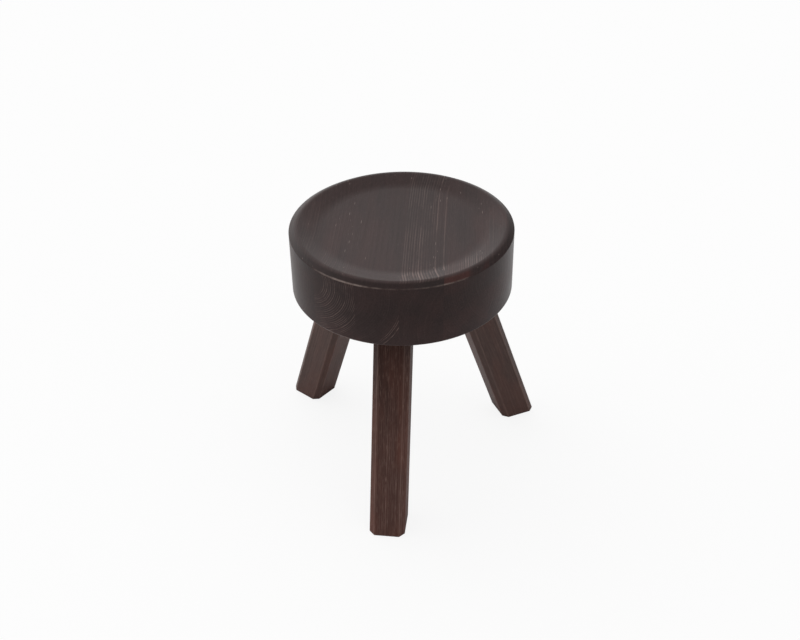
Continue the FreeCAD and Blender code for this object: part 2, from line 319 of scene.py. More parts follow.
class Wiring:
    """Adds nodes to one node tree and joins them."""

    def __init__(self, tree: bpy.types.NodeTree) -> None:
        """Starts on a tree."""
        self.tree = tree

    def node(self, kind: str, *values: object, named: dict | None = None, **settings: object) -> Node:
        """Adds one node.

        Args:
            kind: the node's type, without its Shader Node start.
            values: what goes into its inputs, in order. None leaves an input as it is.
            named: what goes into inputs by their names.
            settings: the node's own settings.

        Returns:
            The node.
        """
        node = self.tree.nodes.new(kind if kind.startswith("Node") else f"ShaderNode{kind}")
        for name, value in settings.items():
            setattr(node, name, value)
        for socket, value in zip(node.inputs, values):
            self.feed(socket, value)
        for name, value in (named or {}).items():
            self.feed(node.inputs[name], value)
        return node

    def feed(self, socket: Socket, value: object) -> None:
        """Links an input to a socket, or gives it a value of its own.

        Args:
            socket: the input.
            value: the other socket, the value, or None to leave the input as it is.
        """
        if isinstance(value, Socket):
            self.tree.links.new(value, socket)
        elif value is not None:
            socket.default_value = value

    def maths(self, operation: str, *values: object) -> Socket:
        """The result of a Math node."""
        return self.node("Math", *values, operation=operation).outputs[0]

    def vector(self, operation: str, *values: object) -> Socket:
        """The result of a Vector Math node, which is a number for a length or a dot product."""
        node = self.node("VectorMath", *values, operation=operation)
        return node.outputs["Value" if operation in ("LENGTH", "DOT_PRODUCT") else "Vector"]

    def scaled(self, vector: Socket, amount: object) -> Socket:
        """A vector or a colour times a number."""
        node = self.node("VectorMath", vector, named={"Scale": amount}, operation="SCALE")
        return node.outputs["Vector"]

    def times(self, first: object, *others: object) -> Socket:
        """Multiplies numbers, from the left.

        Args:
            first: the first number.
            others: what it is multiplied by, one after the other.

        Returns:
            Their product.
        """
        for other in others:
            first = self.maths("MULTIPLY", first, other)
        return first

    def minus(self, first: object, second: object) -> Socket:
        """One number less another."""
        return self.maths("SUBTRACT", first, second)

    def plus_times(self, start: object, share: object, amount: object) -> Socket:
        """A number plus a share times an amount."""
        return self.maths("MULTIPLY_ADD", share, amount, start)

    def spread(self, share: object, ends: Pair) -> Socket:
        """A number from 0 to 1, spread out to run from one end to the other."""
        return self.plus_times(ends[0], share, ends[1] - ends[0])

    def centred(self, share: object) -> Socket:
        """A number from 0 to 1 less one half, so that it swings about zero."""
        return self.minus(share, 0.5)

    def between(
        self, value: object, low: object, high: object, start: object = 0.0, end: object = 1.0
    ) -> Socket:
        """A smooth step: start where the value is at low, and end where it is at high."""
        step = self.node("MapRange", value, low, high, start, end, interpolation_type="SMOOTHSTEP")
        return step.outputs[0]

    def among(self, share: object, first: object, second: object) -> Socket:
        """A number between two numbers."""
        return self.node("MapRange", share, 0.0, 1.0, first, second).outputs[0]

    def mixed(self, share: object, first: object, second: object) -> Socket:
        """Mixes two colours.

        Args:
            share: how much there is of the second, from 0 to 1.
            first: one colour.
            second: the other.

        Returns:
            The colour between them.
        """
        node = self.node("Mix", data_type="RGBA")
        for identifier, value in (("Factor_Float", share), ("A_Color", first), ("B_Color", second)):
            self.feed(next(socket for socket in node.inputs if socket.identifier == identifier), value)
        return next(socket for socket in node.outputs if socket.identifier == "Result_Color")

    def from_home(self, spot: Socket, home: Vector, frame: Matrix) -> Socket:
        """A place as it lies from a home, in a frame of its own."""
        return self.node("Mapping", spot, home, frame.to_euler(), vector_type="TEXTURE").outputs[0]

    def noise(self, place: object, bumps: Bumps) -> Socket:
        """Smooth noise.

        Args:
            place: where it is looked up.
            bumps: how it is stretched, how fine it is and how far it is shifted.

        Returns:
            The noise, from 0 to 1.
        """
        shift = (bumps.shift,) * 3
        stretched = self.node("Mapping", place, shift, (0, 0, 0), bumps.to_the_metre).outputs[0]
        named = {"Vector": stretched, "Scale": 1.0, "Detail": bumps.detail}
        return self.node("TexNoise", named=named).outputs["Fac"]

    def cells(self, place: object, to_the_metre: Triple) -> dict[str, Socket]:
        """Irregular cells.

        Args:
            place: where they are looked up.
            to_the_metre: how many there are to the metre along each axis.

        Returns:
            How far off the middle of the nearest cell is, and that cell's own colour, by name.
        """
        stretched = self.vector("MULTIPLY", place, to_the_metre)
        outputs = self.node("TexVoronoi", named={"Vector": stretched, "Scale": 1.0}).outputs
        return {name: outputs[name] for name in ("Distance", "Color")}


def new_material(name: str) -> tuple[Material, Wiring]:
    """Makes an empty material.

    Args:
        name: what it is called.

    Returns:
        The material, and the wiring that fills it.
    """
    material = bpy.data.materials.new(name)
    material.use_nodes = True
    material.node_tree.nodes.clear()
    return material, Wiring(material.node_tree)


def socket_name(name: str) -> str:
    """The name of a socket for the plain name of a value: Low Tone for low_tone."""
    return name.replace("_", " ").title()


def sockets(**kinds: str) -> dict[str, str]:
    """The kind of each socket by its name, from the plain names of the values of each kind."""
    return {socket_name(name): kind for kind, names in kinds.items() for name in names.split()}


class Group(Wiring):
    """A shader node group with named inputs and outputs, made once and placed wherever it is asked for."""

    name = "group"
    inputs: dict[str, str] = {}
    outputs: dict[str, str] = {}

    def __init__(self) -> None:
        """Starts on the group's own tree, and makes and fills it if this is the first time."""
        groups = bpy.data.node_groups
        is_new = self.name not in groups
        super().__init__(groups.new(self.name, "ShaderNodeTree") if is_new else groups[self.name])
        if is_new:
            self.make()

    def make(self) -> None:
        """Gives the tree its inputs and outputs, and wires its inside."""
        for side, kinds in (("INPUT", self.inputs), ("OUTPUT", self.outputs)):
            for name, kind in kinds.items():
                self.tree.interface.new_socket(name, in_out=side, socket_type=f"NodeSocket{kind}")
        entry = self.node("NodeGroupInput")
        made = self.fill({name: entry.outputs[name] for name in self.inputs})
        self.node("NodeGroupOutput", named=made)

    def fill(self, given: Sockets) -> Sockets:
        """Wires the group's inside.

        Args:
            given: the group's inputs by name.

        Returns:
            What each output puts out, by name.
        """
        raise NotImplementedError

    def place(self, wiring: Wiring, **values: object) -> Sockets:
        """Puts the group into another tree.

        Args:
            wiring: adds the group's node there.
            values: what goes into its inputs, by plain name.

        Returns:
            The outputs of the group's node, by name.
        """
        named = {socket_name(name): value for name, value in values.items()}
        node = wiring.node("Group", node_tree=self.tree, named=named)
        return {name: node.outputs[name] for name in self.outputs}


class GrowthRings(Group):
    """The tree's yearly rings round its pith, which lies along the Y axis of the place given."""

    name = "growth rings"
    inputs = sockets(
        Vector="place", Float="spacing wander unevenness late_share bold_from bold_to bright_ring"
    )
    outputs = sockets(Float="latewood ring_tone")
    slow = Bumps((11, 1.7, 11), detail=1.0)
    quick = Bumps((130, 12, 130), detail=1.0, shift=3.0)
    ripple = 0.0009
    bumps_to_the_year = 0.43
    late_starts = 1.7
    late_is_full = 0.5
    late_stops = (0.93, 1.0)
    ring_strengths = (0.4, 1.0)
    faint_and_bold = (0.1, 1.0)
    bold_fade = 0.005
    fading = Bumps((75, 22, 75), shift=6.0)
    fading_starts = (0.36, 0.58)
    fading_strengths = (0.25, 1.0)
    bright_half_width = 0.0010
    bright_core_share = 0.3
    bright_strength = 0.7

    def fill(self, given: Sockets) -> Sockets:
        """The distance from the pith, bent by slow and quick noise, is counted off in rings.

        In each ring the latewood rises slowly towards the outside and ends at once. It is bold in one run of
        years and faint in the others, and one single ring can stand out on its own.

        Args:
            given: the group's inputs by name.

        Returns:
            The share of latewood, and one number from 0 to 1 for each whole ring.
        """
        place, late = given["Place"], given["Late Share"]
        distance = self.vector("LENGTH", self.vector("MULTIPLY", place, (1, 0, 1)))
        slow = self.centred(self.noise(place, self.slow))
        quick = self.centred(self.noise(place, self.quick))
        bend = self.plus_times(self.times(slow, given["Wander"]), quick, self.ripple)
        bent = self.maths("ADD", distance, bend)
        count = self.maths("DIVIDE", bent, given["Spacing"])
        along = {"W": self.times(count, self.bumps_to_the_year), "Scale": 1.0, "Detail": 1.0}
        years = self.node("TexNoise", named=along, noise_dimensions="1D").outputs["Fac"]
        count = self.plus_times(count, self.centred(years), given["Unevenness"])
        part = self.maths("FRACT", count)
        start = self.plus_times(1.0, late, -self.late_starts)
        full = self.plus_times(1.0, late, -self.late_is_full)
        rise = self.between(part, start, full)
        stop = self.between(part, *self.late_stops, 1.0, 0.0)
        whole = {"W": self.maths("FLOOR", count)}
        tone = self.node("TexWhiteNoise", named=whole, noise_dimensions="1D").outputs["Value"]
        before = self.minus(given["Bold From"], self.bold_fade)
        after = self.maths("ADD", given["Bold To"], self.bold_fade)
        inner = self.between(distance, before, given["Bold From"])
        outer = self.between(distance, given["Bold To"], after, 1.0, 0.0)
        bold = self.spread(self.times(inner, outer), self.faint_and_bold)
        fading = self.noise(place, self.fading)
        fading = self.between(fading, *self.fading_starts, *self.fading_strengths)
        strength = self.times(self.spread(tone, self.ring_strengths), bold, fading)
        latewood = self.times(rise, stop, strength)
        off_ring = self.maths("ABSOLUTE", self.minus(bent, given["Bright Ring"]))
        half = self.bright_half_width
        bright = self.between(off_ring, half, half * self.bright_core_share, 0.0, self.bright_strength)
        bright = self.times(bright, fading)
        return {"Latewood": self.maths("MAXIMUM", latewood, bright), "Ring Tone": tone}


class WoodFibre(Group):
    """Fine fibres along the grain, and the slow clouds that stain leaves in softwood."""

    name = "wood fibre"
    inputs = sockets(Vector="place")
    outputs = sockets(Float="fibre cloud speckle")
    fine = Bumps((1500, 36, 1500), shift=5.0)
    broad = Bumps((420, 9, 420), shift=9.0)
    fine_share = 0.4
    clouds = Bumps((26, 7, 26), detail=3.0, shift=2.0)
    speckles = Bumps((800, 90, 800), shift=4.0)
    speckle_starts = (0.50, 0.72)

    def fill(self, given: Sockets) -> Sockets:
        """Noise stretched forty times along the grain makes the fibres, wide noise makes the clouds, and the
        peaks of small noise make the speckles.

        Args:
            given: the group's inputs by name.

        Returns:
            Fibre and cloud, each from 0 to 1 with its middle at one half, and the speckles from 0 to 1.
        """
        place = given["Place"]
        broad = self.times(self.noise(place, self.broad), 1 - self.fine_share)
        fibre = self.plus_times(broad, self.noise(place, self.fine), self.fine_share)
        speckle = self.between(self.noise(place, self.speckles), *self.speckle_starts)
        return {"Fibre": fibre, "Cloud": self.noise(place, self.clouds), "Speckle": speckle}


class ResinStreaks(Group):
    """Short pale flecks along the grain, where resin canals are cut open and take no stain."""

    name = "resin streaks"
    inputs = sockets(Vector="place", Float="amount row")
    outputs = sockets(Float="streak")
    cells_to_the_metre = (330, 42, 330)
    fleck_radii = (0.10, 0.26)
    full_within = 0.5
    row_half_width = 0.0025
    row_fade = 0.0035
    row_times = 6.0

    def fill(self, given: Sockets) -> Sockets:
        """Cells stretched along the grain, of which a share holds a fleck round its middle. Several times as
        many hold one along a row at one place across the grain.

        Args:
            given: the group's inputs by name.

        Returns:
            How much of a fleck there is, from 0 to 1.
        """
        cells = self.cells(given["Place"], self.cells_to_the_metre)
        chance = self.node("SeparateColor", cells["Color"]).outputs
        radius = self.spread(chance[1], self.fleck_radii)
        inside = self.between(cells["Distance"], radius, self.times(radius, self.full_within))
        across = self.node("SeparateXYZ", given["Place"]).outputs["X"]
        off_row = self.maths("ABSOLUTE", self.minus(across, given["Row"]))
        row_end = self.row_half_width + self.row_fade
        times = self.between(off_row, self.row_half_width, row_end, self.row_times, 1.0)
        share = self.times(given["Amount"], times)
        return {"Streak": self.times(inside, self.maths("LESS_THAN", chance[0], share))}


class WornEdgeAndGlint(Group):
    """Where an edge is lightened, broken up by noise: worn through the stain, and on the seat's rim also a
    painted highlight.
    """

    name = "rubbed edge"
    inputs = sockets(Vector="place", Float="edge amount")
    outputs = sockets(Float="wear")
    patches = Bumps((120, 60, 120), detail=4.0, shift=7.0)
    evenness = 0.35
    wear_starts = (0.2, 0.95)

    def fill(self, given: Sockets) -> Sockets:
        """The edge mark times noise, with only its upper part kept.

        Args:
            given: the group's inputs by name.

        Returns:
            How much the edge is lightened, from 0 to 1: worn stain, and a painted highlight on the seat's
            rim.
        """
        patches = self.maths("ADD", self.noise(given["Place"], self.patches), self.evenness)
        wear = self.between(self.times(given["Edge"], patches), *self.wear_starts)
        return {"Wear": self.times(wear, given["Amount"])}


class PaintedShadeAndTone(Group):
    """The colour's tone by height, and darker towards the back and on the rim's bevel as painted shade."""

    name = "uneven stain"
    inputs = sockets(Vector="spot", Float="low high low_tone high_tone back_tone bevel_tone")
    outputs = sockets(Float="tone bevel")
    bevel_starts = (SEAT_RADIUS - 0.009, SEAT_RADIUS - 0.005)
    bevel_ends = (SEAT_RADIUS - 0.0012, SEAT_RADIUS)
    front_to_back = (-0.06, 0.14)

    def fill(self, given: Sockets) -> Sockets:
        """Smooth steps by height and from front to back, and a ring round the seat's middle for the bevel.

        Args:
            given: the group's inputs by name.

        Returns:
            What the colour is multiplied by, and how much of the bevel a point is, from 0 to 1.
        """
        spot = self.node("SeparateXYZ", given["Spot"]).outputs
        tones = (given["Low Tone"], given["High Tone"])
        # By height: on the legs, painted light and shade along the leg, with a painted shadow under the seat
        # on the front leg; on the seat, a side lighter towards the underside.
        by_height = self.between(spot["Z"], given["Low"], given["High"], *tones)
        # Painted shade: the seat is darker towards its back.
        by_depth = self.between(spot["Y"], *self.front_to_back, 1.0, given["Back Tone"])
        radius = self.vector("LENGTH", self.vector("MULTIPLY", given["Spot"], (1, 1, 0)))
        inner = self.between(radius, *self.bevel_starts)
        outer = self.between(radius, *self.bevel_ends, 1.0, 0.0)
        ring = self.times(inner, outer)
        # Painted shade: the rim's bevel is darker.
        on_bevel = self.among(ring, 1.0, given["Bevel Tone"])
        return {"Tone": self.times(by_height, by_depth, on_bevel), "Bevel": ring}


class StainedPine(Group):
    """Stained and waxed pine: colour, roughness and the height of its raised grain."""

    name = "stained pine"
    inputs = GrowthRings.inputs | sockets(
        Vector="normal along",
        Color="earlywood latewood bare warm",
        Float="edge contrast slope_contrast end_contrast warmth flecks fleck_row speckles tone "
        "bevel bevel_warmth wear roughness",
    )
    outputs = sockets(Color="color", Float="roughness height")
    slope_starts = (0.02, 0.2)
    side_starts = (0.3, 0.45)
    side_contrast = 0.02
    side_darkens = (0.3, 0.5)
    side_tones = (1.0, 0.88)
    end_starts = (0.6, 0.85)
    warm_clouds = (0.40, 0.62)
    fibre_tones = (0.6, 1.4)
    cloud_tones = (0.7, 1.3)
    ring_tones = (0.96, 1.04)
    fleck_strengths = (0.3, 0.0)
    cloud_roughens = 0.12
    end_roughens = 0.04
    end_rough_starts = (0.35, 0.8)
    late_height = 0.45
    fibre_height = 0.4
    fleck_depth = 0.15

    def fill(self, given: Sockets) -> Sockets:
        """Rings, fibres, clouds, flecks, worn edges with a painted highlight, and a tone with painted light
        and shade, laid over one another.

        How far the surface faces along the grain tells long grain from end grain. End grain is darker, has
        rings of its own strength and no flecks. The rings stand out most where the turning tool met the
        rising fibres, on the slope of the dish that faces along the grain.

        Args:
            given: the group's inputs by name.

        Returns:
            The colour, the roughness and the height from 0 to 1.
        """
        place = given["Place"]
        rings = GrowthRings().place(self, **{name: given[name] for name in GrowthRings.inputs})
        fibre = WoodFibre().place(self, place=place)
        row = given["Fleck Row"]
        fleck = ResinStreaks().place(self, place=place, amount=given["Flecks"], row=row)["Streak"]
        wear = WornEdgeAndGlint().place(self, place=place, edge=given["Edge"], amount=given["Wear"])["Wear"]
        rising = self.vector("DOT_PRODUCT", given["Normal"], given["Along"])
        facing = self.maths("ABSOLUTE", rising)

        slope = self.between(rising, *self.slope_starts)
        contrast = self.among(slope, given["Contrast"], given["Slope Contrast"])
        contrast = self.among(self.between(facing, *self.side_starts), contrast, self.side_contrast)
        contrast = self.among(self.between(facing, *self.end_starts), contrast, given["End Contrast"])
        late = self.times(rings["Latewood"], contrast)
        colour = self.mixed(late, given["Earlywood"], given["Latewood"])
        warmth = self.plus_times(given["Warmth"], given["Bevel"], given["Bevel Warmth"])
        warmth = self.times(warmth, self.between(fibre["Cloud"], *self.warm_clouds))
        colour = self.mixed(warmth, colour, given["Warm"])
        # The given tone paints light and shade into the colour.
        tone = self.times(
            self.spread(fibre["Fibre"], self.fibre_tones),
            self.spread(fibre["Cloud"], self.cloud_tones),
            self.spread(rings["Ring Tone"], self.ring_tones),
            self.between(facing, *self.side_darkens, *self.side_tones),
            given["Tone"],
        )
        colour = self.scaled(colour, tone)
        speckle = self.times(fibre["Speckle"], given["Speckles"])
        fleck = self.times(fleck, self.between(facing, *self.side_darkens, *self.fleck_strengths))
        # Worn edges go towards bare wood; on the seat's rim this is also a painted highlight.
        for share in (speckle, fleck, wear):
            colour = self.mixed(share, colour, given["Bare"])

        rough = self.plus_times(given["Roughness"], self.centred(fibre["Cloud"]), self.cloud_roughens)
        rough = self.plus_times(rough, self.between(facing, *self.end_rough_starts), self.end_roughens)
        height = self.times(fibre["Fibre"], self.fibre_height)
        height = self.plus_times(height, rings["Latewood"], self.late_height)
        height = self.plus_times(height, fleck, -self.fleck_depth)
        return {"Color": colour, "Roughness": rough, "Height": height}


class BeechFlecks(Group):
    """Raw beech: pale, close-grained, with short darker flecks along the grain."""

    name = "beech flecks"
    inputs = sockets(Vector="place", Color="pale dark")
    outputs = sockets(Color="color", Float="roughness")
    cells_to_the_metre = (1600, 300, 1600)
    fleck_starts = (0.35, 0.1)
    fleck_share = 0.45
    fibre_share = 0.4
    roughnesses = (0.5, 0.7)

    def fill(self, given: Sockets) -> Sockets:
        """Cells stretched along the grain, dark near their middles, over a soft fibre.

        Args:
            given: the group's inputs by name.

        Returns:
            The colour and the roughness.
        """
        cells = self.cells(given["Place"], self.cells_to_the_metre)
        fleck = self.between(cells["Distance"], *self.fleck_starts)
        fibre = WoodFibre().place(self, place=given["Place"])["Fibre"]
        share = self.plus_times(self.times(fibre, self.fibre_share), fleck, self.fleck_share)
        colour = self.mixed(share, given["Pale"], given["Dark"])
        return {"Color": colour, "Roughness": self.spread(fibre, self.roughnesses)}


# Finishes


class Grain(Enum):
    """Which axis of a piece's own frame the grain follows."""

    LEVEL = "Y"
    UPRIGHT = "Z"

    def frame(self, turn: Euler) -> Matrix:
        """The turn of a frame whose Y axis lies along the grain.

        Args:
            turn: how the piece's own frame is turned.

        Returns:
            The turn, as a matrix of three rows.
        """
        own = turn.to_matrix()
        return own if self is Grain.LEVEL else own @ Matrix.Rotation(math.radians(90), 3, "X")


@dataclass(frozen=True)
class PineFinish:
    """One stick of stained pine: the stain, painted light and shade, and how it was sawn out of the tree.

    The pith is where the tree's heart lay, as a place across and above the piece's own middle line, and the
    slip is how far along the tree the piece was cut. Every value that has an input of its own name in a
    shader group goes into that input.
    """

    name: str
    pith: Pair = (0.0, -0.2)
    slip: float = 0.0
    spacing: float = 0.0035
    wander: float = 0.003
    unevenness: float = 0.8
    late_share: float = 0.3
    bold_from: float = 0.0
    bold_to: float = 1.0
    contrast: float = 0.08
    slope_contrast: float = 0.2
    end_contrast: float = 0.04
    warmth: float = 0.06
    flecks: float = 0.05
    fleck_row: float = -1.0
    bright_ring: float = -1.0
    speckles: float = 0.025
    # Edge lightening: real wear, and on the seat's rim also a painted highlight.
    wear: float = 0.75
    roughness: float = 0.35
    shine: float = 0.12
    raised_grain: float = 0.0001
    # Colour times a tone that runs by height from low to high: on the seat the side is lighter towards the
    # underside; on the legs it is painted light and shade along the leg.
    low: float = 0.288
    high: float = 0.330
    low_tone: float = 1.25
    high_tone: float = 1.0
    # Painted shade: the seat darker towards its back.
    back_tone: float = 0.85
    # Painted shade: the rim's bevel darker.
    bevel_tone: float = 0.7
    bevel_warmth: float = 0.0
    earlywood: Colour = stained(54, 41, 40)
    latewood: Colour = stained(128, 108, 102)
    warm: Colour = stained(84, 44, 38)
    # The colour that edges, flecks and speckles lighten towards; on the seat's rim it also makes a painted
    # highlight.
    bare: Colour = stained(150, 134, 127)

    def values_for(self, group: Group) -> dict[str, object]:
        """The values of this finish that a shader group has inputs for, by name."""
        return {name: value for name, value in vars(self).items() if socket_name(name) in group.inputs}

    def material(self, home: Vector, turn: Euler, grain: Grain = Grain.LEVEL) -> Material:
        """Makes the material for a piece whose grain runs along one axis of its own frame.

        Args:
            home: a point on the piece's middle line.
            turn: how the piece's frame is turned.
            grain: the axis of that frame that the grain follows.

        Returns:
            The material.
        """
        frame = grain.frame(turn)
        pith = home + frame @ Vector((self.pith[0], self.slip, self.pith[1]))
        material, wiring = new_material(self.name)
        coordinates = wiring.node("TexCoord").outputs
        # The tone carries painted shade on the seat's back and bevel, and painted light and shade along the
        # legs.
        uneven, pine = PaintedShadeAndTone(), StainedPine()
        stain = uneven.place(wiring, spot=coordinates["Object"], **self.values_for(uneven))
        values = self.values_for(pine)
        values["fleck_row"] = self.fleck_row - self.pith[0]
        wood = pine.place(
            wiring,
            place=wiring.from_home(coordinates["Object"], pith, frame),
            normal=coordinates["Normal"],
            along=frame @ Vector((0, 1, 0)),
            edge=wiring.node("Attribute", attribute_name=EDGE_MARK).outputs["Fac"],
            tone=stain["Tone"],
            bevel=stain["Bevel"],
            **values,
        )
        raised = {"Strength": 1.0, "Distance": self.raised_grain, "Height": wood["Height"]}
        shader = wiring.node(
            "BsdfPrincipled",
            named={
                "Base Color": wood["Color"],
                "Roughness": wood["Roughness"],
                "Normal": wiring.node("Bump", named=raised).outputs[0],
                "Specular IOR Level": self.shine,
            },
        )
        wiring.node("OutputMaterial", shader.outputs[0])
        return material


@dataclass(frozen=True)
class BeechFinish:
    """Raw beech, as it comes off the saw."""

    name: str
    pale: Colour = stained(196, 160, 124)
    dark: Colour = stained(150, 112, 80)

    def material(self, home: Vector, turn: Euler) -> Material:
        """Makes the material for a piece whose grain runs up its own frame.

        Args:
            home: a point on the piece's middle line.
            turn: how the piece's frame is turned.

        Returns:
            The material.
        """
        material, wiring = new_material(self.name)
        spot = wiring.node("TexCoord").outputs["Object"]
        place = wiring.from_home(spot, home, Grain.UPRIGHT.frame(turn))
        wood = BeechFlecks().place(wiring, place=place, pale=self.pale, dark=self.dark)
        named = {"Base Color": wood["Color"], "Roughness": wood["Roughness"]}
        wiring.node("OutputMaterial", wiring.node("BsdfPrincipled", named=named).outputs[0])
        return material


# Sub-assemblies


@dataclass
class Leg:
    """One splayed post with its tenon, and the wedge that spreads the tenon."""

    name: str
    turn: float
    finish: PineFinish
    underside: float = SEAT_HEIGHT - SEAT_THICKNESS
    home_radius: float = 0.086
    splay: float = math.radians(18.75)
    section: float = 0.049
    chamfer: float = 0.007
    edge_radius: float = 0.0012
    edge_reach: float = 0.0016
    sole_edge_radius: float = 0.002
    sole_edge_mark: float = 0.5
    tenon_radius: float = 0.016
    tenon_length: float = 0.055
    tenon_lead: float = 0.002
    glue_gap: float = 0.0001
    bore_end_gap: float = 0.0015
    wedge_length: float = 0.036
    wedge_head: float = 0.0045
    wedge_tip: float = 0.0015
    kerf_run: float = 0.003
    kerf_reach_share: float = 1.2
    arris_steps: int = 4
    flat_steps: int = 8
    post_steps: int = 12
    sole_steps: int = 4
    bore_steps: int = 64

    @property
    def home(self) -> Vector:
        """Where the leg's axis meets the seat's underside."""
        sideways, forwards = math.sin(self.turn), math.cos(self.turn)
        return Vector((self.home_radius * sideways, -self.home_radius * forwards, self.underside))

    @property
    def lean(self) -> Euler:
        """How the leg's own frame is turned: Z up the leg, Y inwards, X sideways."""
        return (Matrix.Rotation(self.turn, 3, "Z") @ Matrix.Rotation(-self.splay, 3, "X")).to_euler()

    def standing(self, loops: np.ndarray, marks: np.ndarray) -> Skin:
        """A closed skin, put where the leg stands.

        Args:
            loops: its loops, in the leg's own frame.
            marks: their edge marks.

        Returns:
            The skin, in place.
        """
        skin = loops_skin(loops, marks)
        skin.points = turned(skin.points, self.lean.to_matrix()) + np.array(self.home)
        return skin

    def outline(self) -> tuple[np.ndarray, np.ndarray]:
        """The post's section: a square with its corners cut off and each arris rounded.

        Round each of the eight arrises runs an arc, whose centre is the arris of the same section drawn
        smaller by the rounding. A point on the flat stands on either side of each arc, and evenly stepped
        points fill the flat from there to the next arris.

        Returns:
            The points and their edge marks.
        """
        half = self.section / 2
        half_turn = math.pi / ARRISES
        far = half - self.edge_radius
        near = half - self.chamfer - self.edge_radius * math.tan(half_turn)
        middle = half_turn * (1 + 2 * np.arange(ARRISES))
        toward = directions(middle)
        centres = np.where(np.abs(toward) > math.cos(2 * half_turn), far, near) * np.sign(toward)
        fan = np.linspace(-half_turn, half_turn, self.arris_steps + 1)
        direction = directions(middle[:, None] + fan)
        arcs = centres[:, None] + self.edge_radius * direction
        sideways = np.stack([-direction[..., 1], direction[..., 0]], axis=-1)
        before = arcs[:, :1] - self.edge_reach * sideways[:, :1]
        after = arcs[:, -1:] + self.edge_reach * sideways[:, -1:]
        share = np.arange(1, self.flat_steps)[:, None] / self.flat_steps
        flats = after + share * (np.roll(before, -1, axis=0) - after)
        marks = np.pad(np.ones((ARRISES, self.arris_steps + 1)), ((0, 0), (1, self.flat_steps)))
        return np.concatenate([before, arcs, after, flats], axis=1).reshape(-1, 2), marks.reshape(-1)

    def level(self, section: np.ndarray, height: np.ndarray | float) -> np.ndarray:
        """Where lines up the leg through a section reach a height above the floor, in the leg's own frame."""
        rise = section[:, 1] * math.tan(self.splay) + (height - self.underside) / math.cos(self.splay)
        return np.column_stack([section, rise])

    def post_and_tenon(self) -> Skin:
        """The whole leg as one stack of loops.

        From the sole up: quarter-round loops where the sole's edge is softened, level loops up the post, the
        shoulder drawn in to the tenon's circle, loops up the tenon, and its tapered lead. On the tenon a loop
        is the circle at the angles that the section's points have from the leg's axis.

        Returns:
            The skin, in place.
        """
        section, marks = self.outline()
        round_axis = directions(np.arctan2(section[:, 1], section[:, 0]))
        sole = self.sole_edge_radius
        loops, edges = [], []
        for step in np.linspace(math.pi / 2, 0, self.sole_steps + 1):
            drawn_in = section * (1 - 2 * sole / self.section * (1 - math.cos(step)))
            loops.append(self.level(drawn_in, sole * (1 - math.sin(step))))
            edges.append(np.full(len(section), self.sole_edge_mark))
        heights = np.linspace(sole, self.underside, self.post_steps + 1)[1:]
        for height in np.concatenate([[sole + self.edge_reach], heights]):
            loops.append(self.level(section, height))
            edges.append(marks)
        loops.append(self.level(round_axis * self.tenon_radius, self.underside))
        for radius, height in (
            (self.tenon_radius, self.tenon_length / 2),
            (self.tenon_radius, self.tenon_length - self.tenon_lead),
            (self.tenon_radius - self.tenon_lead, self.tenon_length),
        ):
            loops.append(at_height(round_axis * radius, height))
        edges += [np.zeros(len(section))] * (len(loops) - len(edges))
        return self.standing(np.array(loops), np.array(edges))

    def kerf(self) -> Skin:
        """What the saw takes out of the tenon's end: a slot that widens upwards to the wedge's own taper.

        Returns:
            The slot's skin, in place.
        """
        head = self.wedge_head / 2 + self.glue_gap
        tip = self.wedge_tip / 2 + self.glue_gap
        top = self.tenon_length + self.bore_end_gap
        foot = top - self.wedge_length
        halves = np.array([tip, tip, head, head])
        heights = np.array([foot - self.kerf_run, foot, top, top + self.kerf_run])
        corners = np.array([[-1, -1], [1, -1], [1, 1], [-1, 1]])
        loops = np.empty((len(heights), len(corners), 3))
        loops[:, :, 0] = corners[None, :, 0] * halves[:, None]
        loops[:, :, 1] = corners[None, :, 1] * (self.tenon_radius * self.kerf_reach_share)
        loops[:, :, 2] = heights[:, None]
        across = Matrix.Rotation(math.pi / 2 + GRAIN_TURN - self.turn, 3, "Z")
        return self.standing(turned(loops, across), np.zeros(loops.shape[:2]))

    def bore(self) -> Skin:
        """What the drill takes out of the seat for this leg's tenon: a round bar with a flat end.

        Returns:
            The bar's skin, in place.
        """
        ring = circle(self.tenon_radius + self.glue_gap, self.bore_steps)
        heights = (-self.tenon_radius, self.tenon_length + self.bore_end_gap)
        loops = np.array([at_height(ring, height) for height in heights])
        return self.standing(loops, np.zeros(loops.shape[:2]))

    def build(self) -> None:
        """Builds and dresses the leg."""
        node = f"leg_{self.name}"
        mesh = self.post_and_tenon().mesh(f"{node}_stained")
        mesh = cut_away(mesh, [self.kerf().mesh("kerf")])
        finish = self.finish.material(self.home, self.lean, Grain.UPRIGHT)
        add_piece(mesh, node, finish)

    def dress_wedge(self, nodes: dict[str, Item]) -> None:
        """Gives the solid wedge of this leg its raw beech.

        Args:
            nodes: the frame's solids, by name.
        """
        wedge = nodes[f"wedge_{self.name}"]
        dress(wedge.data, BeechFinish(f"beech_{self.name}").material(self.home, self.lean))
        LOG.info("%s: dressed", wedge.name)


